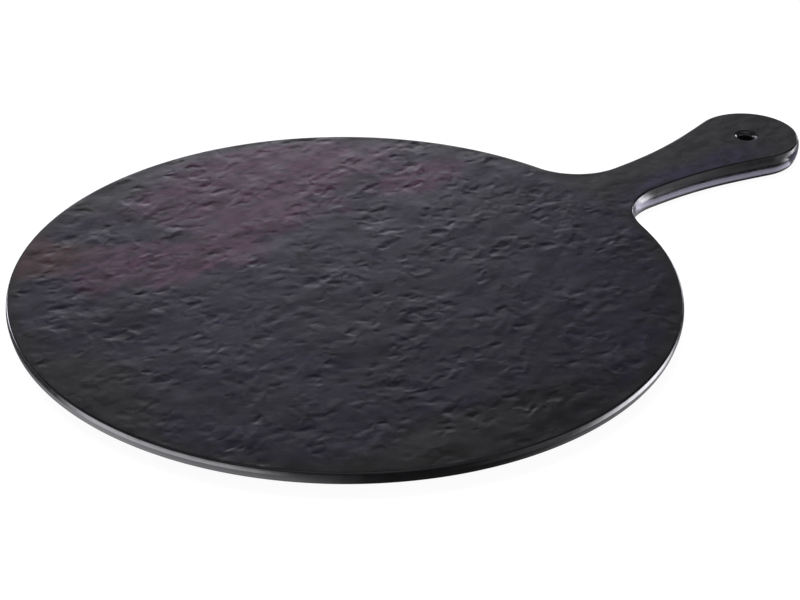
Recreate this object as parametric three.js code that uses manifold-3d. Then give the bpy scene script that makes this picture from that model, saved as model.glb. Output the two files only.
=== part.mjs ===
// A round slate-effect serving platter with a paddle handle, a hanging hole and four soft feet.
// Millimetres. +X runs along the handle and +Z is up. The origin lies under the middle of the
// overall length and width, on the surface that the feet stand on.

import * as THREE from 'three';
import { mergeVertices } from 'three/addons/utils/BufferGeometryUtils.js';
import Module from 'manifold-3d';

const degrees = THREE.MathUtils.degToRad;

// Plan of the platter, measured at the mould seam
const DISC_RADIUS = 150;
const HANDLE_LENGTH = 125; // rim of the disc to the tip of the handle
const NECK_WIDTH = 28.6; // handle at its narrowest, next to the disc
const NECK_FILLET = 29; // hollow corner between the neck and the disc
const HEAD_RADIUS = 25.5; // round end of the handle
const HEAD_ARC = degrees(105); // how far the round end runs back from the tip on each side
const NECK_PULL = 0.43; // how long the flank stays parallel at the neck, as a share of its length
const HEAD_PULL = 0.36; // how long the flank stays in line with the head, as a share of its length

// Section through the edge, with depths measured down from the top face
const PLATE_THICKNESS = 6; // disc at its rim and over its recess
const BASE_DROP = 5; // how far the handle and the base ring reach below the plate
const TOP_ROUND = 0.9; // rounded upper edge
const RIM_SEAM_DEPTH = 2.7; // mould seam round the disc
const HANDLE_SEAM_DEPTH = 4.6; // mould seam round the handle
const UPPER_DRAFT = degrees(8); // lean of the wall above the seam
const LOWER_DRAFT = degrees(15); // lean of the wall below the seam
const BOTTOM_CHAMFER = 0.7; // bevelled lower edge
const ROOT_LENGTH = 40; // rim beside the neck where the handle's thickness runs out into the plate

// Hanging hole in the round end
const HOLE_DIAMETER = 7;
const HOLE_ROUND = 2.5; // rounded mouth on both faces
const HOLE_SETBACK = 1; // from the centre of the round end towards the disc

// Base ring under the disc, and the feet seated in it
const RING_SETBACK = 32; // rim of the disc to the ring's outer edge
const RING_DRAFT = degrees(30); // lean of the ring's flanks
const SOCKET_WALL = 2.7; // ring left on each side of a socket
const SOCKET_DEPTH = 1.5;
const FOOT_DIAMETER = 14;
const FOOT_PROUD = 1; // how far a foot stands out of the ring
const FOOT_ROUND = 0.6; // rounded lower edge of a foot
const FOOT_ANGLE = degrees(45); // each foot's place round the ring, from the handle's axis
const FIT_GAP = 0.3; // clearance and glue line between a foot and its socket

// Fineness of the facets
const DISC_STEP = degrees(3.75);
const CORNER_STEP = degrees(7.5);
const FLANK_STEPS = 12;
const ROUND_STEPS = 3;
const TURN_STEPS = 24;
const RING_STEPS = 72;
const CUT_MARGIN = 1; // how far a cutting shape reaches past the face that it cuts

// Values worked out from the sizes above
const FULL_THICKNESS = PLATE_THICKNESS + BASE_DROP;
const TOP_Z = FOOT_PROUD + FULL_THICKNESS;
const DISC_X = -HANDLE_LENGTH / 2; // disc centre from the origin
const HEAD_X = DISC_RADIUS + HANDLE_LENGTH - HEAD_RADIUS; // head centre from the disc centre
const RING_OUTER = DISC_RADIUS - RING_SETBACK;
const RING_WIDTH = FOOT_DIAMETER + 2 * (FIT_GAP + SOCKET_WALL);
const RING_INNER = RING_OUTER - RING_WIDTH;
const FOOT_CIRCLE = RING_OUTER - RING_WIDTH / 2;

const FEET = [
  { name: 'foot_handle_left', angle: FOOT_ANGLE },
  { name: 'foot_far_left', angle: Math.PI - FOOT_ANGLE },
  { name: 'foot_far_right', angle: FOOT_ANGLE - Math.PI },
  { name: 'foot_handle_right', angle: -FOOT_ANGLE },
];

const SLATE_BLACK = new THREE.MeshStandardMaterial({ color: 0x34343a, roughness: 0.5, metalness: 0 });
const SILICONE_GREY = new THREE.MeshStandardMaterial({ color: 0x2b2b2d, roughness: 0.85, metalness: 0 });

const wasm = await Module();
wasm.setup();

// Joining and cutting

function toSolid(geometry) {
  const bare = geometry.clone();
  bare.deleteAttribute('normal');
  bare.deleteAttribute('uv');
  const merged = mergeVertices(bare);
  const index = merged.index.array;
  const triangles = [];
  for (let i = 0; i < index.length; i += 3) {
    const [a, b, c] = [index[i], index[i + 1], index[i + 2]];
    if (a !== b && b !== c && c !== a) triangles.push(a, b, c);
  }
  const vertProperties = new Float32Array(merged.attributes.position.array);
  const triVerts = new Uint32Array(triangles);
  return new wasm.Manifold(new wasm.Mesh({ numProp: 3, vertProperties, triVerts }));
}

function toGeometry(solid) {
  const mesh = solid.getMesh();
  const geometry = new THREE.BufferGeometry();
  geometry.setAttribute('position', new THREE.BufferAttribute(mesh.vertProperties, 3));
  geometry.setIndex(new THREE.BufferAttribute(mesh.triVerts, 1));
  geometry.computeVertexNormals();
  return geometry;
}

// Skins a row of closed loops of points and closes both ends. Each loop runs anticlockwise when it is
// seen from before the first loop, and flatten gives a point's place in the plane of the end loops.
function loft(loops, flatten) {
  const count = loops[0].length;
  const positions = loops.flat().flatMap((point) => [point.x, point.y, point.z]);
  const index = [];
  for (let k = 0; k + 1 < loops.length; k += 1) {
    for (let i = 0; i < count; i += 1) {
      const next = (i + 1) % count;
      const [a, b] = [k * count + i, k * count + next];
      index.push(a, a + count, b + count, a, b + count, b);
    }
  }
  const lastLoop = (loops.length - 1) * count;
  for (const [a, b, c] of THREE.ShapeUtils.triangulateShape(loops[0].map(flatten), [])) {
    index.push(a, b, c);
  }
  for (const [a, b, c] of THREE.ShapeUtils.triangulateShape(loops.at(-1).map(flatten), [])) {
    index.push(lastLoop + a, lastLoop + c, lastLoop + b);
  }
  const geometry = new THREE.BufferGeometry();
  geometry.setAttribute('position', new THREE.Float32BufferAttribute(positions, 3));
  geometry.setIndex(index);
  return geometry;
}

// A turned shape about an upright axis
function turned(profile, steps) {
  return new THREE.LatheGeometry(profile.getPoints(ROUND_STEPS), steps).rotateX(Math.PI / 2);
}

// Outline of the platter in plan, with the disc centre at (0, 0)

function stepsFor(angle, step) {
  return Math.max(1, Math.ceil(Math.abs(angle) / step));
}

function neckCorner() {
  const y = NECK_WIDTH / 2 + NECK_FILLET;
  const x = Math.sqrt((DISC_RADIUS + NECK_FILLET) ** 2 - y ** 2);
  return { x, y, rootAngle: Math.atan2(y, x) };
}

function flankCurve(corner) {
  const start = new THREE.Vector2(corner.x, NECK_WIDTH / 2);
  const outward = new THREE.Vector2(Math.cos(HEAD_ARC), Math.sin(HEAD_ARC));
  const end = outward.clone().multiplyScalar(HEAD_RADIUS).add(new THREE.Vector2(HEAD_X, 0));
  const along = new THREE.Vector2(outward.y, -outward.x);
  const length = start.distanceTo(end);
  const nearNeck = new THREE.Vector2(start.x + NECK_PULL * length, start.y);
  const nearHead = end.clone().addScaledVector(along, -HEAD_PULL * length);
  return new THREE.CubicBezierCurve(end, nearHead, nearNeck, start);
}

// How much of the handle's extra thickness is left at an angle round the disc
function rootShare(angle) {
  const distance = (Math.abs(angle) - neckCorner().rootAngle) * DISC_RADIUS;
  return 1 - THREE.MathUtils.smoothstep(distance, 0, ROOT_LENGTH);
}

// Points from the tip of the handle to the far side of the disc, on the left of the handle's axis
function leftOutline() {
  const corner = neckCorner();
  const cornerEnd = corner.rootAngle - Math.PI;
  const discArc = Math.PI - corner.rootAngle;
  const head = new THREE.EllipseCurve(HEAD_X, 0, HEAD_RADIUS, HEAD_RADIUS, 0, HEAD_ARC);
  const fillet = new THREE.EllipseCurve(
    corner.x, corner.y, NECK_FILLET, NECK_FILLET, -Math.PI / 2, cornerEnd, true,
  );
  const disc = new THREE.EllipseCurve(0, 0, DISC_RADIUS, DISC_RADIUS, corner.rootAngle, Math.PI);
  const handlePoints = [
    ...head.getPoints(stepsFor(HEAD_ARC, CORNER_STEP)).slice(0, -1),
    ...flankCurve(corner).getPoints(FLANK_STEPS).slice(0, -1),
    ...fillet.getPoints(stepsFor(cornerEnd + Math.PI / 2, CORNER_STEP)).slice(0, -1),
  ];
  const discPoints = disc.getPoints(stepsFor(discArc, DISC_STEP));
  return [
    ...handlePoints.map((point) => ({ point, share: 1 })),
    ...discPoints.map((point) => ({ point, share: rootShare(Math.atan2(point.y, point.x)) })),
  ];
}

function wholeOutline() {
  const left = leftOutline();
  const right = left.slice(1, -1).reverse();
  const mirrored = right.map(({ point, share }) => ({ point: new THREE.Vector2(point.x, -point.y), share }));
  const outline = [...left, ...mirrored];
  return outline.map(({ point, share }, i) => {
    const before = outline.at(i - 1).point;
    const after = outline[(i + 1) % outline.length].point;
    const along = after.clone().sub(before).normalize();
    return { point, share, outward: new THREE.Vector2(along.y, -along.x) };
  });
}

function seamDepth(share) {
  return THREE.MathUtils.lerp(RIM_SEAM_DEPTH, HANDLE_SEAM_DEPTH, share);
}

// Platter body

// The whole outline at full thickness. Each course of the wall is an inset from the seam and a depth.
function slab() {
  const courses = [];
  for (let i = 0; i <= ROUND_STEPS; i += 1) {
    const turn = (i / ROUND_STEPS) * (Math.PI / 2);
    const inset = TOP_ROUND * (1 - Math.sin(turn));
    const depth = TOP_ROUND * (1 - Math.cos(turn));
    courses.push((seam) => [inset + (seam - TOP_ROUND) * Math.tan(UPPER_DRAFT), depth]);
  }
  const lowerInset = (seam, depth) => (depth - seam) * Math.tan(LOWER_DRAFT);
  const bevelDepth = FULL_THICKNESS - BOTTOM_CHAMFER;
  courses.push((seam) => [0, seam]);
  courses.push((seam) => [lowerInset(seam, bevelDepth), bevelDepth]);
  courses.push((seam) => [lowerInset(seam, FULL_THICKNESS) + BOTTOM_CHAMFER, FULL_THICKNESS]);
  const outline = wholeOutline();
  const loops = courses.map((course) => outline.map(({ point, share, outward }) => {
    const [inset, depth] = course(seamDepth(share));
    const place = point.clone().addScaledVector(outward, -inset);
    return new THREE.Vector3(place.x, place.y, TOP_Z - depth);
  }));
  return loft(loops, (point) => new THREE.Vector2(point.x, point.y));
}

// What is taken away under the rim, from the base ring outwards, all round except at the handle's root
function rimRelief() {
  const floor = FULL_THICKNESS + 2 * CUT_MARGIN;
  const outer = DISC_RADIUS + CUT_MARGIN;
  const ringFlank = (depth) => RING_OUTER + (FULL_THICKNESS - depth) * Math.tan(RING_DRAFT);
  const { rootAngle } = neckCorner();
  const sweep = 2 * (Math.PI - rootAngle);
  const steps = 2 * stepsFor(sweep / 2, DISC_STEP);
  const loops = [];
  for (let i = 0; i <= steps; i += 1) {
    const angle = rootAngle + (sweep * i) / steps;
    const share = rootShare(Math.min(angle, 2 * Math.PI - angle));
    const ceiling = PLATE_THICKNESS + share * (BASE_DROP + CUT_MARGIN);
    const wall = DISC_RADIUS - (ceiling - seamDepth(share)) * Math.tan(LOWER_DRAFT);
    const edge = wall - BOTTOM_CHAMFER;
    const section = [
      [ringFlank(floor), floor],
      [outer, floor],
      [outer, ceiling - (outer - edge)],
      [edge, ceiling],
      [ringFlank(ceiling), ceiling],
    ];
    loops.push(section.map(([radius, depth]) => new THREE.Vector3(
      radius * Math.cos(angle), radius * Math.sin(angle), TOP_Z - depth,
    )));
  }
  return loft(loops, (point) => new THREE.Vector2(Math.hypot(point.x, point.y), point.z));
}

// What is taken away under the middle of the disc, inside the base ring
function centreRecess() {
  const ringFlank = (depth) => RING_INNER - (FULL_THICKNESS - depth) * Math.tan(RING_DRAFT);
  const mouth = FULL_THICKNESS + CUT_MARGIN;
  const profile = new THREE.Path();
  profile.moveTo(0, TOP_Z - mouth);
  profile.lineTo(ringFlank(mouth), TOP_Z - mouth);
  profile.lineTo(ringFlank(PLATE_THICKNESS), TOP_Z - PLATE_THICKNESS);
  profile.lineTo(0, TOP_Z - PLATE_THICKNESS);
  return turned(profile, RING_STEPS);
}

function hangingHole() {
  const wall = HOLE_DIAMETER / 2;
  const mouth = wall + HOLE_ROUND;
  const profile = new THREE.Path();
  profile.moveTo(0, FOOT_PROUD - CUT_MARGIN);
  profile.lineTo(mouth, FOOT_PROUD - CUT_MARGIN);
  profile.lineTo(mouth, FOOT_PROUD);
  profile.absarc(mouth, FOOT_PROUD + HOLE_ROUND, HOLE_ROUND, -Math.PI / 2, Math.PI, true);
  profile.absarc(mouth, TOP_Z - HOLE_ROUND, HOLE_ROUND, Math.PI, Math.PI / 2, true);
  profile.lineTo(mouth, TOP_Z + CUT_MARGIN);
  profile.lineTo(0, TOP_Z + CUT_MARGIN);
  return turned(profile, TURN_STEPS).translate(HEAD_X - HOLE_SETBACK, 0, 0);
}

function footSocket({ angle }) {
  const radius = FOOT_DIAMETER / 2 + FIT_GAP;
  const profile = new THREE.Path();
  profile.moveTo(0, FOOT_PROUD - CUT_MARGIN);
  profile.lineTo(radius, FOOT_PROUD - CUT_MARGIN);
  profile.lineTo(radius, FOOT_PROUD + SOCKET_DEPTH);
  profile.lineTo(0, FOOT_PROUD + SOCKET_DEPTH);
  const place = [FOOT_CIRCLE * Math.cos(angle), FOOT_CIRCLE * Math.sin(angle)];
  return turned(profile, TURN_STEPS).translate(place[0], place[1], 0);
}

function platterBody() {
  const cuts = [rimRelief(), centreRecess(), hangingHole(), ...FEET.map(footSocket)];
  const body = cuts.reduce((solid, cut) => solid.subtract(toSolid(cut)), toSolid(slab()));
  const mesh = new THREE.Mesh(toGeometry(body), SLATE_BLACK);
  mesh.name = 'platter_body';
  return mesh;
}

// Feet

function foot({ name, angle }) {
  const radius = FOOT_DIAMETER / 2;
  const height = FOOT_PROUD + SOCKET_DEPTH - FIT_GAP;
  const profile = new THREE.Path();
  profile.moveTo(0, 0);
  profile.lineTo(radius - FOOT_ROUND, 0);
  profile.absarc(radius - FOOT_ROUND, FOOT_ROUND, FOOT_ROUND, -Math.PI / 2, 0, false);
  profile.lineTo(radius, height);
  profile.lineTo(0, height);
  const mesh = new THREE.Mesh(turned(profile, TURN_STEPS), SILICONE_GREY);
  mesh.name = name;
  mesh.position.set(FOOT_CIRCLE * Math.cos(angle), FOOT_CIRCLE * Math.sin(angle), 0);
  return mesh;
}

const platter = new THREE.Group();
platter.position.x = DISC_X;
platter.add(platterBody(), ...FEET.map(foot));

export default platter;
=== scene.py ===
"""Looks of the slate-effect serving platter: a finely modelled body with a riven slate face and glossy
edges, four soft feet, a pale floor, soft studio light and the photograph's camera."""

import math

import bpy
import numpy as np
from mathutils import Matrix, Vector
from mathutils.geometry import delaunay_2d_cdt
from mathutils.kdtree import KDTree


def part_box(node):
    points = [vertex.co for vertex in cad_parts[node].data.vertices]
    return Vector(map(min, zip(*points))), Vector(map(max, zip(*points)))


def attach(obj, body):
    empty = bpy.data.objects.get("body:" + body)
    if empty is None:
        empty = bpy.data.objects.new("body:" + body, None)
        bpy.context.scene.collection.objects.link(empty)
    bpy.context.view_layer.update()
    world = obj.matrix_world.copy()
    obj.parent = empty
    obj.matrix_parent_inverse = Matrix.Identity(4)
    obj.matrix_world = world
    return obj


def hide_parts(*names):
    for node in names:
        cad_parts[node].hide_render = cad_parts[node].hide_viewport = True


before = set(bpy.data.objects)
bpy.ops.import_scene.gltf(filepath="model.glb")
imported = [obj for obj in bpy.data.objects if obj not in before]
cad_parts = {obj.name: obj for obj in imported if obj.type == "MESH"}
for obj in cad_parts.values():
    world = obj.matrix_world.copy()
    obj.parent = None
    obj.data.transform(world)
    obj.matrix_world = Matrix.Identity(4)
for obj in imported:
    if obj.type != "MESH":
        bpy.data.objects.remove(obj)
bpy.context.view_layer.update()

MM = 0.001

# Sizes of the body in millimetres, as the solid has them. Plan places are measured from the disc centre
# and depths down from the top face.
BODY_LOW, BODY_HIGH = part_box("platter_body")
LENGTH = (BODY_HIGH.x - BODY_LOW.x) / MM
FULL_THICKNESS = (BODY_HIGH.z - BODY_LOW.z) / MM
DISC_RADIUS = 150.0
NECK_WIDTH = 28.6
NECK_FILLET = 29.0
HEAD_RADIUS = 25.5
HEAD_ARC = math.radians(105)
NECK_PULL = 0.43
HEAD_PULL = 0.36
PLATE_THICKNESS = 6.0
TOP_ROUND = 0.9
RIM_SEAM_DEPTH = 2.7
HANDLE_SEAM_DEPTH = 4.6
UPPER_DRAFT = math.radians(8)
LOWER_DRAFT = math.radians(15)
BOTTOM_ROUND = 0.7
ROOT_LENGTH = 40.0
HOLE_RADIUS = 3.5
HOLE_ROUND = 2.5
HOLE_SETBACK = 1.0
RING_OUTER = 118.0
RING_INNER = 98.0
RING_FLANK = 2.9
SOCKET_DEPTH = 1.5
FIT_GAP = 0.3
HEAD_X = LENGTH - DISC_RADIUS - HEAD_RADIUS
HOLE_CENTRE = (HEAD_X - HOLE_SETBACK, 0.0)
DISC_X = BODY_LOW.x / MM + DISC_RADIUS
FEET = ("foot_handle_left", "foot_far_left", "foot_far_right", "foot_handle_right")

# Forms that the solid leaves out: how far the face rolls down at the rim and over what breadth, both in
# millimetres, and how far the walls swell, as shares of their height
RIM_DROP = 0.2
RIM_ROLL = 14.0
RIM_BULGE = 0.03
HANDLE_BULGE = 0.06

# Fineness of the mesh: steps in millimetres, the share of the face with the finest steps, clearances that
# inner points keep from edges, and steps round small circles
OUTLINE_STEP = 1.3
FINE_STEP = 0.72
DENSE_SHARE = 0.24
UNDER_STEP = 2.6
FACE_CLEARANCE = 0.6
UNDER_CLEARANCE = 1.2
FLANK_RINGS = 9
FLANK_MARGIN = 0.6
HOLE_STEPS = 56
SOCKET_STEPS = 48
ROUND_STEPS = 5

SLATE, EDGE, UNDER = 0, 1, 2


def to_frame(plan, depth):
    """Points in the frame, in metres, from plan places and depths in millimetres."""
    points = np.empty((len(plan), 3))
    points[:, 0] = (plan[:, 0] + DISC_X) * MM
    points[:, 1] = plan[:, 1] * MM
    points[:, 2] = BODY_HIGH.z - np.broadcast_to(depth, len(plan)) * MM
    return points


def smoothstep(value, low, high):
    t = np.clip((value - low) / (high - low), 0.0, 1.0)
    return t * t * (3.0 - 2.0 * t)


# Outline in plan

def arc(centre, radius, start, end):
    steps = max(2, round(abs(end - start) * radius / OUTLINE_STEP))
    angle = np.linspace(start, end, steps + 1)
    return np.stack([centre[0] + radius * np.cos(angle), centre[1] + radius * np.sin(angle)], axis=1)


def bezier(p0, p1, p2, p3):
    steps = max(2, round(np.linalg.norm(p3 - p0) / OUTLINE_STEP))
    t = np.linspace(0.0, 1.0, steps + 1)[:, None]
    return (1 - t) ** 3 * p0 + 3 * t * (1 - t) ** 2 * p1 + 3 * t * t * (1 - t) * p2 + t ** 3 * p3


def neck_corner():
    """Centre of the fillet between the disc and the neck, and the angle at which it leaves the disc."""
    y = NECK_WIDTH / 2 + NECK_FILLET
    x = math.sqrt((DISC_RADIUS + NECK_FILLET) ** 2 - y ** 2)
    return x, y, math.atan2(y, x)


def root_share(angle):
    """How much of the handle's extra thickness is left at an angle round the disc."""
    distance = (np.abs(angle) - neck_corner()[2]) * DISC_RADIUS
    return 1.0 - smoothstep(distance, 0.0, ROOT_LENGTH)


def outline():
    """Points round the platter at the mould seam, outward normals, and shares of the handle's thickness."""
    corner_x, corner_y, root_angle = neck_corner()
    neck = np.array([corner_x, NECK_WIDTH / 2])
    outward = np.array([math.cos(HEAD_ARC), math.sin(HEAD_ARC)])
    head_end = np.array([HEAD_X, 0.0]) + HEAD_RADIUS * outward
    along = np.array([outward[1], -outward[0]])
    flank = np.linalg.norm(head_end - neck)
    handle = [
        arc((HEAD_X, 0.0), HEAD_RADIUS, 0.0, HEAD_ARC)[:-1],
        bezier(head_end, head_end - along * HEAD_PULL * flank, neck + [NECK_PULL * flank, 0.0], neck)[:-1],
        arc((corner_x, corner_y), NECK_FILLET, -math.pi / 2, root_angle - math.pi)[:-1],
    ]
    handle = np.concatenate(handle)
    rim = arc((0.0, 0.0), DISC_RADIUS, root_angle, math.pi)
    left = np.concatenate([handle, rim])
    share = np.concatenate([np.ones(len(handle)), root_share(np.arctan2(rim[:, 1], rim[:, 0]))])
    points = np.concatenate([left, left[-2:0:-1] * [1.0, -1.0]])
    share = np.concatenate([share, share[-2:0:-1]])
    tangent = np.roll(points, -1, axis=0) - np.roll(points, 1, axis=0)
    tangent /= np.linalg.norm(tangent, axis=1)[:, None]
    normal = np.stack([tangent[:, 1], -tangent[:, 0]], axis=1)
    return points, normal, share


def bulging(start, end, bulge):
    """Courses part of the way down a wall that swells a little between its start and its end."""
    height = end[1] - start[1]
    courses = []
    for t in (1 / 3, 2 / 3):
        inset = start[0] + (end[0] - start[0]) * t - 4 * t * (1 - t) * bulge * height
        courses.append((inset, start[1] + height * t))
    return courses


def edge_courses(share):
    """Insets from the seam and depths of the courses down the wall, and which course is the seam."""
    bulge = RIM_BULGE + (HANDLE_BULGE - RIM_BULGE) * share
    seam = RIM_SEAM_DEPTH + (HANDLE_SEAM_DEPTH - RIM_SEAM_DEPTH) * share
    thickness = PLATE_THICKNESS + (FULL_THICKNESS - PLATE_THICKNESS) * share
    lean = (seam - TOP_ROUND) * math.tan(UPPER_DRAFT)
    courses = []
    for turn in np.linspace(0.0, math.pi / 2, ROUND_STEPS + 1):
        inset = lean + TOP_ROUND * (1 - math.sin(turn))
        courses.append((inset, np.full_like(seam, TOP_ROUND * (1 - math.cos(turn)))))
    at_seam = (np.zeros_like(seam), seam)
    courses += bulging(courses[-1], at_seam, bulge)
    seam_course = len(courses)
    courses.append(at_seam)
    lower = thickness - BOTTOM_ROUND
    drawn_in = (lower - seam) * math.tan(LOWER_DRAFT)
    courses += bulging(at_seam, (drawn_in, lower), bulge)
    for turn in np.linspace(0.0, math.pi / 2, ROUND_STEPS):
        inset = drawn_in + BOTTOM_ROUND * (1 - math.cos(turn))
        courses.append((inset, lower + BOTTOM_ROUND * math.sin(turn)))
    return courses, seam_course


# Slate relief

def hashed(ix, iy, seed):
    """Numbers spread evenly from 0 to 1, one for each cell of a grid."""
    h = (ix * 374761393 + iy * 668265263 + seed * 974711) & 0xFFFFFFFF
    h = ((h ^ (h >> 13)) * 1274126177) & 0xFFFFFFFF
    h = ((h ^ (h >> 15)) * 2246822519) & 0xFFFFFFFF
    return ((h ^ (h >> 16)) & 0xFFFFFF) / 0x1000000


def gradient_noise(x, y, seed):
    """Smooth noise, about -1 to 1, with features one unit across."""
    cell_x, cell_y = np.floor(x).astype(np.int64), np.floor(y).astype(np.int64)
    fx, fy = x - cell_x, y - cell_y

    def corner(ix, iy):
        angle = hashed(cell_x + ix, cell_y + iy, seed) * (2 * math.pi)
        return np.cos(angle) * (fx - ix) + np.sin(angle) * (fy - iy)

    u, v = (t ** 3 * (t * (t * 6 - 15) + 10) for t in (fx, fy))
    near = corner(0, 0) * (1 - u) + corner(1, 0) * u
    far = corner(0, 1) * (1 - u) + corner(1, 1) * u
    return 1.5 * (near * (1 - v) + far * v)


def layered_noise(x, y, seed, octaves, gain=0.5):
    return sum(gain ** i * gradient_noise(x * 2 ** i, y * 2 ** i, seed + 17 * i) for i in range(octaves))


# Relief: turns of its grain in plan and of the nicks from the grain, heights and depths in millimetres, the
# chance of a nick in a cell, the mean that is taken off, the breadth of its fading at edges, and its share
# on the handle
GRAIN_ANGLE = math.radians(34)
NICK_TURN = math.radians(60)
SWELL_HEIGHT = 0.25
LUMP_HEIGHT = 0.24
SMALL_LUMP_HEIGHT = 0.09
LEDGE_HEIGHT = 0.08
NICK_DEPTH = 0.21
SMALL_NICK_DEPTH = 0.12
NICK_CHANCE = 0.6
FACE_MEAN = 0.03
RELIEF_FADE = 2.2
HANDLE_RELIEF = 0.28


def nicks(u, v, cell, size, depth, seed):
    """Nicks where flakes have split off, with a long slope and a steep end, in most cells of a grid."""
    cell_u, cell_v = np.floor(u / cell).astype(np.int64), np.floor(v / cell).astype(np.int64)
    lowest = np.zeros_like(u)
    for step_u in (-1, 0, 1):
        for step_v in (-1, 0, 1):
            iu, iv = cell_u + step_u, cell_v + step_v
            at_u, at_v, turned, grown, kept, deep = (hashed(iu, iv, seed + k) for k in range(6))
            du, dv = u - (iu + at_u) * cell, v - (iv + at_v) * cell
            turn = NICK_TURN + (turned - 0.5) * 0.9
            grow = 0.6 + 0.8 * grown
            along = (du * np.cos(turn) + dv * np.sin(turn)) / (size[0] * grow)
            across = (dv * np.cos(turn) - du * np.sin(turn)) / (size[1] * grow)
            slope = np.minimum((along + 1.0) / 1.45, (1.0 - along) / 0.55)
            dip = np.clip(slope, 0.0, 1.0) * np.clip(1.0 - across * across, 0.0, 1.0)
            cut = depth * (0.4 + 1.2 * deep) * grow * dip
            lowest = np.minimum(lowest, np.where(kept < NICK_CHANCE, -cut, 0.0))
    return lowest


def pillows(noise):
    """Rounded swellings with sharp creases between them."""
    return np.sqrt(noise * noise + 0.005)


def slate_relief(x, y):
    """Height of the slate face in millimetres at plan places, about zero on the whole."""
    c, s = math.cos(GRAIN_ANGLE), math.sin(GRAIN_ANGLE)
    u, v = x * c + y * s, y * c - x * s
    bent_u = u + 1.4 * layered_noise(u / 7, v / 6, 11, 2)
    bent_v = v + 1.4 * layered_noise(u / 7, v / 6, 23, 2)
    rough = smoothstep(layered_noise(u / 30, v / 17, 41, 2), -0.4, 0.2)
    swell = SWELL_HEIGHT * layered_noise(u / 30, v / 20, 31, 2)
    lump = pillows(layered_noise(bent_u / 14.5, bent_v / 7.0, 53, 2))
    small_lump = pillows(layered_noise(bent_u / 9.0, bent_v / 4.8, 67, 2))
    lumps = LUMP_HEIGHT * (0.25 + 0.75 * rough) * lump
    lumps += SMALL_LUMP_HEIGHT * (0.15 + 0.85 * rough) * small_lump
    level = 2.4 * layered_noise(bent_u / 44, bent_v / 22, 37, 3)
    tread = level - np.floor(level)
    split = smoothstep(gradient_noise(u / 19, v / 9, 47), 0.0, 0.35)
    ledges = LEDGE_HEIGHT * split * (np.floor(level) + smoothstep(tread, 0.78, 1.0) - level)
    nicked = nicks(bent_u, bent_v, 8.0, (3.0, 3.7), NICK_DEPTH, 61)
    nicked += nicks(bent_u, bent_v, 5.5, (2.0, 2.4), SMALL_NICK_DEPTH, 161)
    return swell + lumps + ledges + (0.2 + 0.8 * rough) * nicked - FACE_MEAN


def relief_strength(x, y):
    """How strongly the relief shows: full on the disc, fainter on the handle."""
    beyond = smoothstep(np.hypot(x, y), DISC_RADIUS - 15.0, DISC_RADIUS + 20.0)
    return 1.0 - (1.0 - HANDLE_RELIEF) * beyond


def rim_drop(plan):
    """How far the face has rolled down where it meets the rounded edge."""
    return RIM_DROP * relief_strength(plan[:, 0], plan[:, 1])


# Meshes

def circle(centre, radius, steps):
    angle = np.arange(steps) * (2 * math.pi / steps)
    return np.stack([centre[0] + radius * np.cos(angle), centre[1] + radius * np.sin(angle)], axis=1)


def edge_distance(points, ring, normal):
    """Signed distance from points to a closed outline, positive inside."""
    tree = KDTree(len(ring))
    for i, (x, y) in enumerate(ring):
        tree.insert((x, y, 0.0), i)
    tree.balance()
    nearest = np.array([tree.find((x, y, 0.0))[1] for x, y in points])
    return np.einsum("ij,ij->i", ring[nearest] - points, normal[nearest])


def fill(ring, normal, holes, points):
    """Triangles over the ring less its round holes, through the points given."""
    loops = [ring] + holes
    places = np.concatenate(loops + [points])
    edges, start = [], 0
    for loop in loops:
        edges += [(start + i, start + (i + 1) % len(loop)) for i in range(len(loop))]
        start += len(loop)
    found = delaunay_2d_cdt([Vector(p) for p in places], edges, [], 0, 1e-7, False)
    assert len(found[0]) == len(places)
    triangles = np.array(found[2], dtype=np.int64)
    middle = places[triangles].mean(axis=1)
    keep = np.ones(len(triangles), bool)
    on_ring = np.where((triangles < len(ring)).all(axis=1))[0]
    keep[on_ring] = edge_distance(middle[on_ring], ring, normal) > 0.0
    for hole in holes:
        centre = hole.mean(axis=0)
        keep &= np.linalg.norm(middle - centre, axis=1) > 0.99 * np.linalg.norm(hole[0] - centre)
    return places, triangles[keep]


def top_points(ring, normal, hole_radius):
    """Places on the top face, closer together where the relief bends most, and their heights."""
    row_step = FINE_STEP * math.sqrt(0.75)
    j, i = np.meshgrid(np.arange(round(2 * DISC_RADIUS / row_step)), np.arange(round(LENGTH / FINE_STEP)),
                       indexing="ij")
    x = (i + 0.5 * (j % 2)) * FINE_STEP - DISC_RADIUS
    y = j * row_step - DISC_RADIUS
    height = slate_relief(x, y) * relief_strength(x, y)
    bend = np.zeros_like(height)
    bend[:, 1:-1] += np.abs(height[:, 2:] + height[:, :-2] - 2 * height[:, 1:-1])
    bend[2:-2] += np.abs(height[4:] + height[:-4] - 2 * height[2:-2]) / 3
    coarse = (j % 2 == 0) & (i % 2 == 0)
    inside = (np.hypot(x, y) < DISC_RADIUS) | ((x > 0) & (np.abs(y) < 55))
    dense = bend > np.quantile(bend[np.hypot(x, y) < DISC_RADIUS], 1 - DENSE_SHARE)
    chosen = inside & (coarse | dense)
    points = np.stack([x[chosen], y[chosen]], axis=1)
    from_edge = edge_distance(points, ring, normal)
    clear = np.minimum(from_edge, np.linalg.norm(points - HOLE_CENTRE, axis=1) - hole_radius)
    raised = height[chosen] * smoothstep(clear, 0.0, RELIEF_FADE)
    raised -= rim_drop(points) * (1.0 - smoothstep(from_edge, 0.0, RIM_ROLL))
    keep = clear > FACE_CLEARANCE
    return points[keep], raised[keep]


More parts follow.
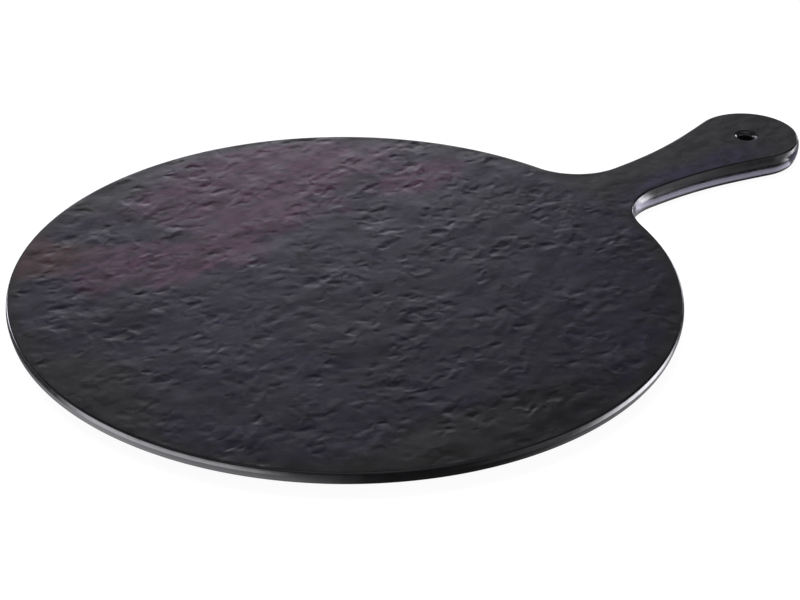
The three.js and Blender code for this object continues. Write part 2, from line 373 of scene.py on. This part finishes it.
def underside_depth(plan):
    """Depth of the underside: plate, base ring, and the handle's root running into the ring."""
    reach = np.hypot(plan[:, 0], plan[:, 1])
    extra = FULL_THICKNESS - PLATE_THICKNESS
    root = np.where(reach > DISC_RADIUS, 1.0, root_share(np.arctan2(plan[:, 1], plan[:, 0])))
    ring = smoothstep(reach, RING_INNER - RING_FLANK, RING_INNER)
    outside = 1.0 + (root - 1.0) * smoothstep(reach, RING_OUTER, RING_OUTER + RING_FLANK)
    return PLATE_THICKNESS + extra * np.where(reach > RING_OUTER, outside, ring)


def underside_points(ring, normal, holes):
    """Places on the underside: rings on the flats, and closer rings, in step, on the flanks."""
    flats = np.concatenate([
        np.arange(0.0, RING_INNER - RING_FLANK - 2.0, 6.0),
        np.arange(RING_INNER + 3.0, RING_OUTER - 2.0, 3.0),
        np.arange(RING_OUTER + RING_FLANK + 3.0, DISC_RADIUS + 50.0, 4.0),
    ])
    rings = [circle((0.0, 0.0), r, max(1, round(2 * math.pi * r / UNDER_STEP))) for r in flats]
    for start in (RING_INNER - RING_FLANK, RING_OUTER):
        steps = round(2 * math.pi * start / UNDER_STEP)
        flank = np.linspace(start - FLANK_MARGIN, start + RING_FLANK + FLANK_MARGIN, FLANK_RINGS)
        rings += [circle((0.0, 0.0), r, steps) for r in flank]
    points = np.concatenate(rings)
    points = points[edge_distance(points, ring, normal) > UNDER_CLEARANCE]
    for hole in holes:
        centre = hole.mean(axis=0)
        reach = np.linalg.norm(points - centre, axis=1)
        points = points[reach > np.linalg.norm(hole[0] - centre) + UNDER_CLEARANCE]
    return points


class MeshParts:
    """Gathers points and faces, with a material and places on the texture sheet for each face."""

    def __init__(self):
        self.points, self.faces, self.materials, self.sheet, self.count = [], [], [], [], 0

    def add_points(self, points):
        self.points.append(points)
        self.count += len(points)
        return np.arange(self.count - len(points), self.count)

    def add_faces(self, faces, material, sheet):
        self.faces += faces.tolist()
        self.materials += [material] * len(faces)
        self.sheet.append(sheet.reshape(-1, 2))

    def skin(self, rings, material, corner, strips=1):
        """Quads between rings of points, each below the one before, laid on the sheet as level strips."""
        everything = np.concatenate(self.points) / MM
        loop = everything[np.append(rings[0], rings[0][0])]
        along = np.append(0.0, np.cumsum(np.linalg.norm(np.diff(loop, axis=0), axis=1)))
        middles = [everything[ring[0]] for ring in rings]
        down = np.append(0.0, np.cumsum([np.linalg.norm(b - a) for a, b in zip(middles, middles[1:])]))
        strip = np.floor(along[:-1] / along[-1] * strips)
        left = along[:-1] - strip * along[-1] / strips + corner[0]
        right = left + np.diff(along)
        base = corner[1] + strip * (down[-1] + 2.0)
        for k, (upper, lower) in enumerate(zip(rings, rings[1:])):
            quads = np.stack([upper, lower, np.roll(lower, -1), np.roll(upper, -1)], axis=1)
            high, low = base + down[k], base + down[k + 1]
            sheet = np.stack([left, high, left, low, right, low, right, high], axis=1)
            self.add_faces(quads, material, sheet)

    def dish(self, rings, reaches, material, middle):
        """Quads between rings of points, laid on the sheet as circles of growing reach about a middle."""
        for k, (inner, outer) in enumerate(zip(rings, rings[1:])):
            quads = np.stack([inner, outer, np.roll(outer, -1), np.roll(inner, -1)], axis=1)
            near, far = (circle(middle, reach, len(inner)) for reach in reaches[k:k + 2])
            sheet = np.stack([near, far, np.roll(far, -1, axis=0), np.roll(near, -1, axis=0)], axis=1)
            self.add_faces(quads, material, sheet)

    def to_object(self, name, materials, sheet_size):
        mesh = bpy.data.meshes.new(name)
        mesh.from_pydata(np.concatenate(self.points).tolist(), [], self.faces)
        for material in materials:
            mesh.materials.append(material)
        mesh.polygons.foreach_set("material_index", self.materials)
        mesh.polygons.foreach_set("use_smooth", np.ones(len(self.faces), bool))
        layer = mesh.uv_layers.new(name="OFBake")
        layer.uv.foreach_set("vector", (np.concatenate(self.sheet) / sheet_size).ravel().astype(np.float32))
        mesh.update()
        piece = bpy.data.objects.new(name, mesh)
        bpy.context.scene.collection.objects.link(piece)
        return piece


# Texture sheet of the body in millimetres: top face, underside, then walls and sockets beside them
SHEET = 640.0
TOP_CORNER = np.array([DISC_RADIUS + 6.0, DISC_RADIUS + 6.0])
UNDER_CORNER = np.array([DISC_RADIUS + 6.0, 3 * DISC_RADIUS + 14.0])
WALL_CORNER = (438.0, 8.0)
HOLE_CORNER = (438.0, 180.0)
SOCKET_CORNER = (440.0, 220.0)


def platter_body(materials):
    points, normal, share = outline()
    courses, seam_course = edge_courses(share)
    plans = [points - normal * inset[:, None] for inset, _ in courses]
    mouth = circle(HOLE_CENTRE, HOLE_RADIUS + HOLE_ROUND, HOLE_STEPS)
    n = len(points)
    parts = MeshParts()

    inner, heights = top_points(plans[0], normal, HOLE_RADIUS + HOLE_ROUND)
    places, triangles = fill(plans[0], normal, [mouth], inner)
    drop = rim_drop(points)
    depth = np.concatenate([drop, np.zeros(HOLE_STEPS), -heights])
    top = parts.add_points(to_frame(places, depth))
    parts.add_faces(top[triangles], SLATE, places[triangles] + TOP_CORNER)

    rings = [top[:n]]
    for plan, (_, course_depth) in zip(plans[1:], courses[1:]):
        eased = drop * np.clip(1.0 - course_depth / TOP_ROUND, 0.0, 1.0)
        rings.append(parts.add_points(to_frame(plan, course_depth + eased)))
    parts.skin(rings, EDGE, WALL_CORNER, strips=7)

    sockets = []
    for node in FEET:
        low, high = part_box(node)
        centre = ((low.x + high.x) / 2 / MM - DISC_X, (low.y + high.y) / 2 / MM)
        sockets.append(circle(centre, (high.x - low.x) / 2 / MM + FIT_GAP, SOCKET_STEPS))
    holes = [mouth] + sockets
    places, triangles = fill(plans[-1], normal, holes, underside_points(plans[-1], normal, holes))
    under = np.concatenate([rings[-1], parts.add_points(to_frame(places, underside_depth(places))[n:])])
    sheet = places * [1.0, -1.0] + UNDER_CORNER
    parts.add_faces(under[triangles[:, ::-1]], UNDER, sheet[triangles[:, ::-1]])

    turns = np.linspace(0.0, math.pi / 2, ROUND_STEPS + 1)
    hole_rings = [top[n:n + HOLE_STEPS]]
    for turn in turns[1:]:
        hole = circle(HOLE_CENTRE, HOLE_RADIUS + HOLE_ROUND * (1 - math.sin(turn)), HOLE_STEPS)
        hole_rings.append(parts.add_points(to_frame(hole, HOLE_ROUND * (1 - math.cos(turn)))))
    for turn in turns[:-1]:
        hole = circle(HOLE_CENTRE, HOLE_RADIUS + HOLE_ROUND * (1 - math.cos(turn)), HOLE_STEPS)
        hole_depth = FULL_THICKNESS - HOLE_ROUND * (1 - math.sin(turn))
        hole_rings.append(parts.add_points(to_frame(hole, hole_depth)))
    hole_rings.append(under[n:n + HOLE_STEPS])
    parts.skin([ring[::-1] for ring in hole_rings], EDGE, HOLE_CORNER)

    sharp = [rings[seam_course]]
    for k, socket in enumerate(sockets):
        start = n + HOLE_STEPS + k * SOCKET_STEPS
        rim = under[start:start + SOCKET_STEPS]
        bottom = parts.add_points(to_frame(socket, FULL_THICKNESS - SOCKET_DEPTH))
        corner = np.array(SOCKET_CORNER) + [0.0, 24.0 * k]
        parts.skin([bottom[::-1], rim[::-1]], UNDER, corner + [20.0, 0.0])
        disc = socket - socket.mean(axis=0) + corner + 8.0
        parts.add_faces(bottom[None, ::-1], UNDER, disc[::-1])
        sharp += [rim, bottom]

    piece = parts.to_object("slate_platter", materials, SHEET)
    mark_sharp(piece.data, sharp)
    return piece


def mark_sharp(mesh, loops):
    pairs = set()
    for loop in loops:
        pairs.update(tuple(sorted(pair)) for pair in zip(loop.tolist(), np.roll(loop, -1).tolist()))
    for edge in mesh.edges:
        if tuple(sorted(edge.vertices)) in pairs:
            edge.use_edge_sharp = True


# Feet, in millimetres: steps round a foot, the smallest ring, the texture sheet, the ribs of the sole, the
# rounded edge, and the bevel at the back
FOOT_STEPS = 64
FOOT_TIP = 0.1
FOOT_SHEET = 64.0
SOLE_STEPS = 21
SOLE_STEP = 0.27
RIB_PITCH = 2.1
RIB_DEPTH = 0.30
FOOT_ROUND = 0.9
BACK_BEVEL = 0.3
BACK_CORNER = 0.09


def foot_profile(radius, height):
    """Radii and heights of a foot from the middle of its ribbed sole, round its edge, to its back."""
    points = [(0.0, RIB_DEPTH)]
    for k in range(1, SOLE_STEPS + 1):
        r = k * SOLE_STEP
        groove = smoothstep(math.cos(r * 2 * math.pi / RIB_PITCH), -0.3, 0.6)
        points.append((r, RIB_DEPTH * groove))
    for turn in np.linspace(0.0, math.pi / 2, ROUND_STEPS):
        inset = FOOT_ROUND - FOOT_ROUND * math.sin(turn)
        points.append((radius - inset, FOOT_ROUND - FOOT_ROUND * math.cos(turn)))
    points += [(radius, height - BACK_BEVEL), (radius - BACK_CORNER, height - BACK_CORNER)]
    points += [(radius - BACK_BEVEL, height), (0.0, height)]
    return points


def foot(node, material):
    low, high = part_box(node)
    centre = (low + high) / 2
    profile = foot_profile((high.x - low.x) / 2 / MM, (high.z - low.z) / MM)
    parts = MeshParts()
    rings = []
    for r, z in profile:
        ring = circle((0.0, 0.0), max(r, FOOT_TIP), FOOT_STEPS)[::-1] * MM
        ring = np.column_stack([ring + [centre.x, centre.y], np.full(FOOT_STEPS, low.z + z * MM)])
        rings.append(parts.add_points(ring))
    steps = np.linalg.norm(np.diff(profile, axis=0), axis=1)
    reaches = FOOT_TIP + np.append(0.0, np.cumsum(steps))
    middle = (0.45 * FOOT_SHEET, 0.45 * FOOT_SHEET)
    parts.dish(rings, reaches, 0, middle)
    parts.add_faces(rings[0][None], 0, circle(middle, FOOT_TIP, FOOT_STEPS))
    far_corner = (0.97 * FOOT_SHEET, 0.97 * FOOT_SHEET)
    parts.add_faces(rings[-1][None, ::-1], 0, circle(far_corner, FOOT_TIP, FOOT_STEPS))
    return parts.to_object(node.replace("foot", "soft_foot"), [material], FOOT_SHEET)


# Materials

def colour(r, g, b):
    return r, g, b, 1.0


def new_material(name):
    material = bpy.data.materials.new(name)
    material.use_nodes = True
    return material, material.node_tree, material.node_tree.nodes["Principled BSDF"]


class Nodes:
    """Short ways to add the few shader nodes that the materials use."""

    def __init__(self, tree):
        self.tree = tree
        self.coordinates = self.add("ShaderNodeTexCoord").outputs
        self.place = self.coordinates["Object"]

    def add(self, kind, **settings):
        node = self.tree.nodes.new(kind)
        for name, value in settings.items():
            setattr(node, name, value)
        return node

    def link(self, source, socket):
        if not isinstance(source, bpy.types.NodeSocket):
            socket.default_value = source
        else:
            self.tree.links.new(source, socket)

    def noise(self, size_mm, detail=3.0, roughness=0.5, distortion=0.0, turn=0.0, stretch=1.0):
        """Noise from 0 to 1 with features about size_mm across, stretched along a turned x axis."""
        mapping = self.add("ShaderNodeMapping", vector_type="TEXTURE")
        mapping.inputs["Rotation"].default_value = (0.0, 0.0, turn)
        mapping.inputs["Scale"].default_value = (stretch, 1.0, 1.0)
        self.link(self.place, mapping.inputs["Vector"])
        node = self.add("ShaderNodeTexNoise")
        self.link(mapping.outputs["Vector"], node.inputs["Vector"])
        node.inputs["Scale"].default_value = 1.0 / (size_mm * MM)
        node.inputs["Detail"].default_value = detail
        node.inputs["Roughness"].default_value = roughness
        node.inputs["Distortion"].default_value = distortion
        return node.outputs["Fac"]

    def math(self, operation, a, b=0.0):
        node = self.add("ShaderNodeMath", operation=operation)
        self.link(a, node.inputs[0])
        self.link(b, node.inputs[1])
        return node.outputs["Value"]

    def spread(self, value, low, high, to_low=0.0, to_high=1.0, smooth=True):
        node = self.add("ShaderNodeMapRange", interpolation_type="SMOOTHSTEP" if smooth else "LINEAR")
        self.link(value, node.inputs["Value"])
        for name, number in zip(("From Min", "From Max", "To Min", "To Max"), (low, high, to_low, to_high)):
            node.inputs[name].default_value = number
        return node.outputs["Result"]

    def vector(self, operation, a, b=(0.0, 0.0, 0.0)):
        node = self.add("ShaderNodeVectorMath", operation=operation)
        self.link(a, node.inputs[0])
        self.link(b, node.inputs[1])
        return node.outputs["Value" if operation in ("DOT_PRODUCT", "LENGTH") else "Vector"]

    def axis(self, source, name):
        node = self.add("ShaderNodeSeparateXYZ")
        self.link(source, node.inputs["Vector"])
        return node.outputs[name]

    def choose(self, share, low, high):
        node = self.add("ShaderNodeMix", data_type="FLOAT")
        self.link(share, node.inputs[0])
        self.link(low, node.inputs[2])
        self.link(high, node.inputs[3])
        return node.outputs[0]

    def blend(self, share, low, high):
        node = self.add("ShaderNodeMix", data_type="RGBA")
        self.link(share, node.inputs["Factor"])
        self.link(low, node.inputs[6])
        self.link(high, node.inputs[7])
        return node.outputs[2]

    def bump(self, height, distance_mm):
        node = self.add("ShaderNodeBump")
        node.inputs["Strength"].default_value = 1.0
        node.inputs["Distance"].default_value = distance_mm * MM
        self.link(height, node.inputs["Height"])
        return node.outputs["Normal"]

    def near(self, x, y, reach_x, reach_y):
        """Nearness to the middle of an oval in plan, in millimetres: 1 in the middle, 0 at its edge."""
        offset = self.vector("SUBTRACT", self.place, ((x + DISC_X) * MM, y * MM, 0.0))
        scaled = self.vector("MULTIPLY", offset, (1 / (reach_x * MM), 1 / (reach_y * MM), 0.0))
        return self.math("SUBTRACT", 1.0, self.vector("LENGTH", scaled))


# Ovals where the colour of the slate face changes, middle and reach in plan, in millimetres from the disc
# centre: the decor's tints, a darker oval by the rim nearest the camera, and painted sheen over the handle
PLUM_PATCHES = ((34, 108, 72, 42), (8, 76, 30, 18), (92, 63, 26, 14))
ROSE_PATCHES = ((-72, 77, 26, 20), (-36, 61, 38, 18))
# Darker and greyer by the rim nearest the camera
DARK_PATCHES = ((-22, -134, 58, 26),)
BROWN_PATCHES = ((-91, 104, 20, 18),)
GREY_PATCHES = ((-146, 0, 32, 52), (-66, -128, 76, 20), (-42, 139, 44, 12))
# Paler over the handle's face: painted sheen, standing in for light the handle catches less than the disc
PAINTED_SHEEN_PATCHES = ((232, 0, 85, 46),)
VIOLET_PATCHES = ((194, -14, 52, 13),)

# Colours laid under and over the plain rim of the face; the pale one over the handle is painted sheen
INNER_TINTS = (
    (PLUM_PATCHES, colour(0.0350, 0.0110, 0.0275)),
    (ROSE_PATCHES, colour(0.0380, 0.0150, 0.0310)),
    (DARK_PATCHES, colour(0.0022, 0.0021, 0.0028)),
)
RIM_TINT = colour(0.0045, 0.0044, 0.0045)
OUTER_TINTS = (
    (BROWN_PATCHES, colour(0.0250, 0.0100, 0.0110)),
    (GREY_PATCHES, colour(0.0068, 0.0065, 0.0062)),
    # Painted sheen: the handle's face painted paler
    (PAINTED_SHEEN_PATCHES, colour(0.0170, 0.0160, 0.0170)),
    (VIOLET_PATCHES, colour(0.0155, 0.0135, 0.0270)),
)
DARK_GREY = colour(0.0045, 0.0041, 0.0092)
LIGHT_GREY = colour(0.0086, 0.0076, 0.0165)


def tint_share(n, patches, ragged):
    """How much of a tint shows: full inside ragged ovals, none outside them."""
    inside = -1.0
    for patch in patches:
        inside = n.math("MAXIMUM", inside, n.near(*patch))
    return n.spread(n.math("ADD", inside, ragged), -0.25, 0.45)


def slate_face():
    material, tree, shader = new_material("slate_face")
    n = Nodes(tree)
    clouds = n.noise(55, detail=4.0, distortion=0.4)
    mottle = n.noise(9, detail=4.0, roughness=0.6)
    speckle = n.noise(1.6, detail=2.0)
    tinted = n.blend(n.spread(clouds, 0.35, 0.65), DARK_GREY, LIGHT_GREY)
    ragged = n.math("MULTIPLY", n.math("SUBTRACT", n.noise(20, detail=5.0, roughness=0.62), 0.5), 1.6)
    ragged_rim = n.math("MULTIPLY", ragged, 0.05)
    for patches, tint in INNER_TINTS:
        tinted = n.blend(tint_share(n, patches, ragged), tinted, tint)
    from_rim = n.math("SUBTRACT", n.near(0, 0, DISC_RADIUS, DISC_RADIUS), ragged_rim)
    tinted = n.blend(n.spread(from_rim, 0.06, 0.015), tinted, RIM_TINT)
    for patches, tint in OUTER_TINTS:
        tinted = n.blend(tint_share(n, patches, ragged), tinted, tint)
    fleck_turn = GRAIN_ANGLE + NICK_TURN + math.pi / 2
    flecks = n.noise(3.4, detail=4.0, roughness=0.6, turn=fleck_turn, stretch=2.4)
    flecked = n.spread(flecks, 0.36, 0.62, 0.5, 1.3)
    shade = n.math("MULTIPLY", n.spread(mottle, 0.3, 0.7, 1.0, 0.65), flecked)
    n.link(n.vector("MULTIPLY", tinted, shade), shader.inputs["Base Color"])
    n.link(n.spread(mottle, 0.3, 0.7, 0.32, 0.45), shader.inputs["Roughness"])
    height = n.math("ADD", n.math("MULTIPLY", speckle, 0.5), n.noise(0.7, detail=2.0))
    n.link(n.bump(height, 0.05), shader.inputs["Normal"])
    return material


def gloss_edge():
    material, tree, shader = new_material("gloss_edge")
    n = Nodes(tree)
    shade = n.spread(n.noise(14, detail=3.0), 0.3, 0.7)
    black = n.blend(shade, colour(0.0050, 0.0050, 0.0058), colour(0.0085, 0.0085, 0.0095))
    n.link(black, shader.inputs["Base Color"])
    n.link(n.spread(n.noise(5, detail=3.0), 0.3, 0.7, 0.13, 0.22), shader.inputs["Roughness"])
    n.link(n.bump(n.noise(7, detail=2.0), 0.10), shader.inputs["Normal"])
    return material


def satin_underside():
    material, tree, shader = new_material("satin_underside")
    n = Nodes(tree)
    shade = n.spread(n.noise(40, detail=4.0), 0.3, 0.7)
    black = n.blend(shade, colour(0.0090, 0.0090, 0.0100), colour(0.0150, 0.0150, 0.0165))
    n.link(black, shader.inputs["Base Color"])
    n.link(n.spread(n.noise(12, detail=4.0), 0.3, 0.7, 0.34, 0.48), shader.inputs["Roughness"])
    n.link(n.bump(n.noise(0.9, detail=2.0), 0.05), shader.inputs["Normal"])
    return material


def foot_silicone():
    material, tree, shader = new_material("foot_silicone")
    n = Nodes(tree)
    dust = n.spread(n.noise(3, detail=4.0), 0.35, 0.75)
    grey = n.blend(dust, colour(0.022, 0.022, 0.024), colour(0.042, 0.041, 0.041))
    n.link(grey, shader.inputs["Base Color"])
    n.link(n.spread(dust, 0.0, 1.0, 0.62, 0.85), shader.inputs["Roughness"])
    n.link(n.bump(n.noise(0.4, detail=2.0), 0.02), shader.inputs["Normal"])
    return material


# Stage

# Camera: turn about the vertical, pitch, roll, place from the middle of the disc's face in turned axes, and
# focal length in millimetres
CAMERA_TURN = math.radians(39.0)
CAMERA_PITCH = math.radians(29.880)
CAMERA_ROLL = math.radians(0.805)
CAMERA_PLACE = Vector((24.15, -1094.06, 622.38)) * MM
CAMERA_LENS = 127.55
TURN = Matrix.Rotation(-CAMERA_TURN, 3, "Z")
DISC_TOP = Vector((DISC_X * MM, 0.0, BODY_HIGH.z))
FLOOR_REACH = 8.0
FLOOR_COLOUR = colour(0.12, 0.12, 0.12)
FLOOR_GLOW = 0.95


def camera():
    right = TURN @ Vector((1.0, 0.0, 0.0))
    forward = TURN @ Vector((0.0, math.cos(CAMERA_PITCH), -math.sin(CAMERA_PITCH)))
    up = right.cross(forward)
    rolled_right = math.cos(CAMERA_ROLL) * right + math.sin(CAMERA_ROLL) * up
    rolled_up = math.cos(CAMERA_ROLL) * up - math.sin(CAMERA_ROLL) * right
    data = bpy.data.cameras.new("camera")
    data.lens = CAMERA_LENS
    data.sensor_width = 36.0
    data.clip_end = 50.0
    obj = bpy.data.objects.new("camera", data)
    axes = Matrix((rolled_right, rolled_up, -forward)).transposed()
    obj.matrix_world = Matrix.Translation(DISC_TOP + TURN @ CAMERA_PLACE) @ axes.to_4x4()
    bpy.context.scene.collection.objects.link(obj)
    bpy.context.scene.camera = obj


def toward(azimuth):
    """Level direction from the disc. Azimuth 0 is towards the camera and 90 is to its right."""
    turn = math.radians(azimuth)
    return TURN @ Vector((math.sin(turn), -math.cos(turn), 0.0))


def panel(name, azimuth, distance, width, bottom, top, radiance, tint):
    """An upright softbox facing the disc, brightest along its middle."""
    data = bpy.data.lights.new(name, "AREA")
    data.shape = "RECTANGLE"
    data.size, data.size_y = width, top - bottom
    data.energy = radiance * math.pi * width * (top - bottom)
    data.color = tint
    data.use_nodes = True
    n = Nodes(data.node_tree)
    across = n.axis(n.add("ShaderNodeNewGeometry").outputs["Parametric"], "X")
    off_middle = n.math("ABSOLUTE", n.math("SUBTRACT", across, 0.5))
    n.link(n.spread(off_middle, 0.1, 0.5, 1.0, 0.0), data.node_tree.nodes["Emission"].inputs["Strength"])
    obj = bpy.data.objects.new(name, data)
    obj.location = DISC_TOP + toward(azimuth) * distance + Vector((0.0, 0.0, (top + bottom) / 2))
    obj.rotation_euler = (-toward(azimuth)).to_track_quat("-Z", "Y").to_euler()
    obj.visible_camera = False
    bpy.context.scene.collection.objects.link(obj)


def overhead(name, azimuth, distance, height, size, radiance):
    """A broad soft lamp above, kept out of reflections so that the glossy edges stay black on top."""
    data = bpy.data.lights.new(name, "AREA")
    data.shape = "SQUARE"
    data.size = size
    data.energy = radiance * math.pi * size * size
    obj = bpy.data.objects.new(name, data)
    obj.location = DISC_TOP + toward(azimuth) * distance + Vector((0.0, 0.0, height))
    obj.rotation_euler = (DISC_TOP - obj.location).to_track_quat("-Z", "Y").to_euler()
    obj.visible_camera = False
    obj.visible_glossy = False
    bpy.context.scene.collection.objects.link(obj)


def card(name, plan, faces, strength, tint=(1.0, 1.0, 1.0)):
    """A flat card on the floor that only reflections show: a painted reflection of light floor, or painted
    shade, beside the edge.
    """
    mesh = bpy.data.meshes.new(name)
    mesh.from_pydata(to_frame(plan, BODY_HIGH.z / MM - 0.1).tolist(), [], faces)
    material, _, shader = new_material(name)
    shader.inputs["Base Color"].default_value = colour(0.0, 0.0, 0.0)
    shader.inputs["Specular IOR Level"].default_value = 0.0
    shader.inputs["Emission Color"].default_value = colour(*tint)
    shader.inputs["Emission Strength"].default_value = strength
    mesh.materials.append(material)
    obj = bpy.data.objects.new(name, mesh)
    obj.visible_camera = obj.visible_diffuse = obj.visible_shadow = obj.visible_transmission = False
    bpy.context.scene.collection.objects.link(obj)


def border(name, inner, outward, width, strength, tint):
    """A card along part of the outline."""
    n = len(inner)
    faces = [(i, n + i, n + i + 1, i + 1) for i in range(n - 1)]
    card(name, np.concatenate([inner, inner + outward * width]), faces, strength, tint)


def edge_cards():
    """Painted shade under the platter, a painted reflection of light floor by the handle's near side and a
    dimmer one at its tip.
    """
    points, normal, share = outline()
    # Painted shade: a black card where the floor lies in the platter's shade
    card("painted_shade_underneath", points - normal * UNDER_INSET, [tuple(range(len(points)))], 0.0)
    near = (points[:, 1] < 0) & (share == 1.0) & (points[:, 0] < HEAD_X + TIP_REACH)
    # Painted reflection: a glowing card that the handle's near wall shows as light floor
    border("painted_reflection_by_handle", points[near], normal[near], HANDLE_GLOW_WIDTH, HANDLE_GLOW, LAVENDER)
    tip = np.roll(np.arange(len(points)), len(points) // 2)
    tip = tip[points[tip, 0] > HEAD_X + TIP_REACH]
    # Painted reflection: a dim glowing card that the handle's tip shows
    border("dim_painted_reflection_by_tip", points[tip], normal[tip], TIP_GLOW_WIDTH, TIP_GLOW, LAVENDER)


def floor():
    mesh = bpy.data.meshes.new("floor")
    reach = FLOOR_REACH
    corners = [(-reach, -reach, 0), (reach, -reach, 0), (reach, reach, 0), (-reach, reach, 0)]
    mesh.from_pydata(corners, [], [(0, 1, 2, 3)])
    obj = bpy.data.objects.new("floor", mesh)
    bpy.context.scene.collection.objects.link(obj)
    material, tree, shader = new_material("pale_floor")
    n = Nodes(tree)
    shader.inputs["Base Color"].default_value = FLOOR_COLOUR
    shader.inputs["Roughness"].default_value = 1.0
    shader.inputs["Specular IOR Level"].default_value = 0.0
    shader.inputs["Emission Color"].default_value = colour(1.0, 1.0, 1.0)
    path = n.add("ShaderNodeLightPath")
    seen = n.math("ADD", path.outputs["Is Camera Ray"], path.outputs["Is Glossy Ray"])
    seen = n.math("ADD", seen, path.outputs["Is Transmission Ray"])
    n.link(n.math("MULTIPLY", seen, FLOOR_GLOW), shader.inputs["Emission Strength"])
    mesh.materials.append(material)
    obj.visible_glossy = False


# Light from around that the glossy edges show, on the upper half of the edge, on its lower half and on
# its rounded top, and light from the front that the face shows from behind: azimuth, reach of the full
# strength and of the fading in degrees, and radiance
SIDE_GLOW = ((-60, 22, 48, 6.6), (111, 2, 36, 8.6), (72, 8, 40, 0.6), (-14, 6, 26, 0.7))
TABLE_GLOW = ((-72, 20, 92, 1.85), (126, 12, 56, 0.5))
SKY_GLOW = ((-112, 25, 70, 0.4), (78, 8, 34, 1.0))
FRONT_GLOW = ((0, 50, 115, 0.32),)

# Least light from around and light from the ceiling, and the heights between which each part of the
# surroundings gives way to the next, as sines of the elevation
EDGE_GLOW = 0.1
SKY_LEAST = 0.08
CEILING = 0.07
TABLE_TO_SIDE = (-0.54, -0.42)
SIDE_TO_SKY = (-0.28, -0.12)
SKY_TO_CEILING = (0.15, 0.55)
FRONT_RISE = (0.08, 0.25)
FRONT_FALL = (0.5, 0.75)

# A soft glow overhead, leaning to the front
OVERHEAD_LEAN = math.radians(12)
OVERHEAD_FULL = math.radians(4)
OVERHEAD_FADING = math.radians(44)
OVERHEAD_GLOW = 0.6

# Cards on the floor that paint reflections and shade into the glossy edges: radiance, and sizes in
# millimetres
HANDLE_GLOW = 2.6
HANDLE_GLOW_WIDTH = 4.5
UNDER_INSET = 3.0
TIP_REACH = 12.0
TIP_GLOW = 0.35
TIP_GLOW_WIDTH = 28.0

# Tints of the lights and cards
COOL = (1.02, 1.0, 1.12)
LAVENDER = (1.03, 1.0, 1.27)

# Softboxes behind the platter: azimuth in degrees, sizes in metres, heights above the face, and radiance
PANELS = {
    "white_backdrop": dict(azimuth=-174, distance=0.75, width=0.75, bottom=0.105, top=0.24, radiance=3.0),
    "right_rear_strip": dict(azimuth=147, distance=1.0, width=0.24, bottom=0.05, top=0.3, radiance=7.0),
    "left_rear_strip": dict(azimuth=-134, distance=1.0, width=0.3, bottom=0.05, top=0.44, radiance=10.0),
}


def glow(n, level, lobes, least):
    """Radiance by level direction, as a sum of soft-edged lobes."""
    total = least
    for azimuth, full, fading, radiance in lobes:
        off_middle = n.math("ARCCOSINE", n.vector("DOT_PRODUCT", level, toward(azimuth)))
        lobe = n.spread(off_middle, math.radians(full), math.radians(fading), radiance, 0.0)
        total = n.math("ADD", total, lobe)
    return total


def studio():
    world = bpy.data.worlds.new("studio")
    bpy.context.scene.world = world
    world.use_nodes = True
    world.cycles.sampling_method = "NONE"
    n = Nodes(world.node_tree)
    background = world.node_tree.nodes["Background"]
    background.inputs["Color"].default_value = colour(1.0, 0.99, 1.05)
    direction = n.coordinates["Generated"]
    level = n.vector("NORMALIZE", n.vector("MULTIPLY", direction, (1.0, 1.0, 0.0)))
    height = n.axis(direction, "Z")
    table = glow(n, level, TABLE_GLOW, EDGE_GLOW)
    side = glow(n, level, SIDE_GLOW, EDGE_GLOW)
    sky = glow(n, level, SKY_GLOW, SKY_LEAST)
    around = n.choose(n.spread(height, *TABLE_TO_SIDE), table, side)
    around = n.choose(n.spread(height, *SIDE_TO_SKY), around, sky)
    around = n.choose(n.spread(height, *SKY_TO_CEILING), around, CEILING)
    low_sky = n.math("MULTIPLY", n.spread(height, *FRONT_RISE), n.spread(height, *FRONT_FALL, 1.0, 0.0))
    around = n.math("ADD", around, n.math("MULTIPLY", low_sky, glow(n, level, FRONT_GLOW, 0.0)))
    overhead_way = toward(0) * math.sin(OVERHEAD_LEAN) + Vector((0.0, 0.0, math.cos(OVERHEAD_LEAN)))
    off_middle = n.math("ARCCOSINE", n.vector("DOT_PRODUCT", direction, overhead_way))
    lobe = n.spread(off_middle, OVERHEAD_FULL, OVERHEAD_FADING, OVERHEAD_GLOW, 0.0)
    around = n.math("ADD", around, lobe)
    seen = n.add("ShaderNodeLightPath").outputs["Is Camera Ray"]
    n.link(n.choose(seen, around, 1.0), background.inputs["Strength"])
    for name, softbox in PANELS.items():
        panel(name, tint=COOL, **softbox)
    overhead("top_softbox", azimuth=-150, distance=0.5, height=1.5, size=1.4, radiance=4.8)


def add_piece(piece, node):
    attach(piece, "root")
    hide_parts(node)


add_piece(platter_body([slate_face(), gloss_edge(), satin_underside()]), "platter_body")
silicone = foot_silicone()
for node in FEET:
    add_piece(foot(node, silicone), node)
floor()
edge_cards()
studio()
camera()
bpy.context.scene.view_settings.view_transform = "Standard"
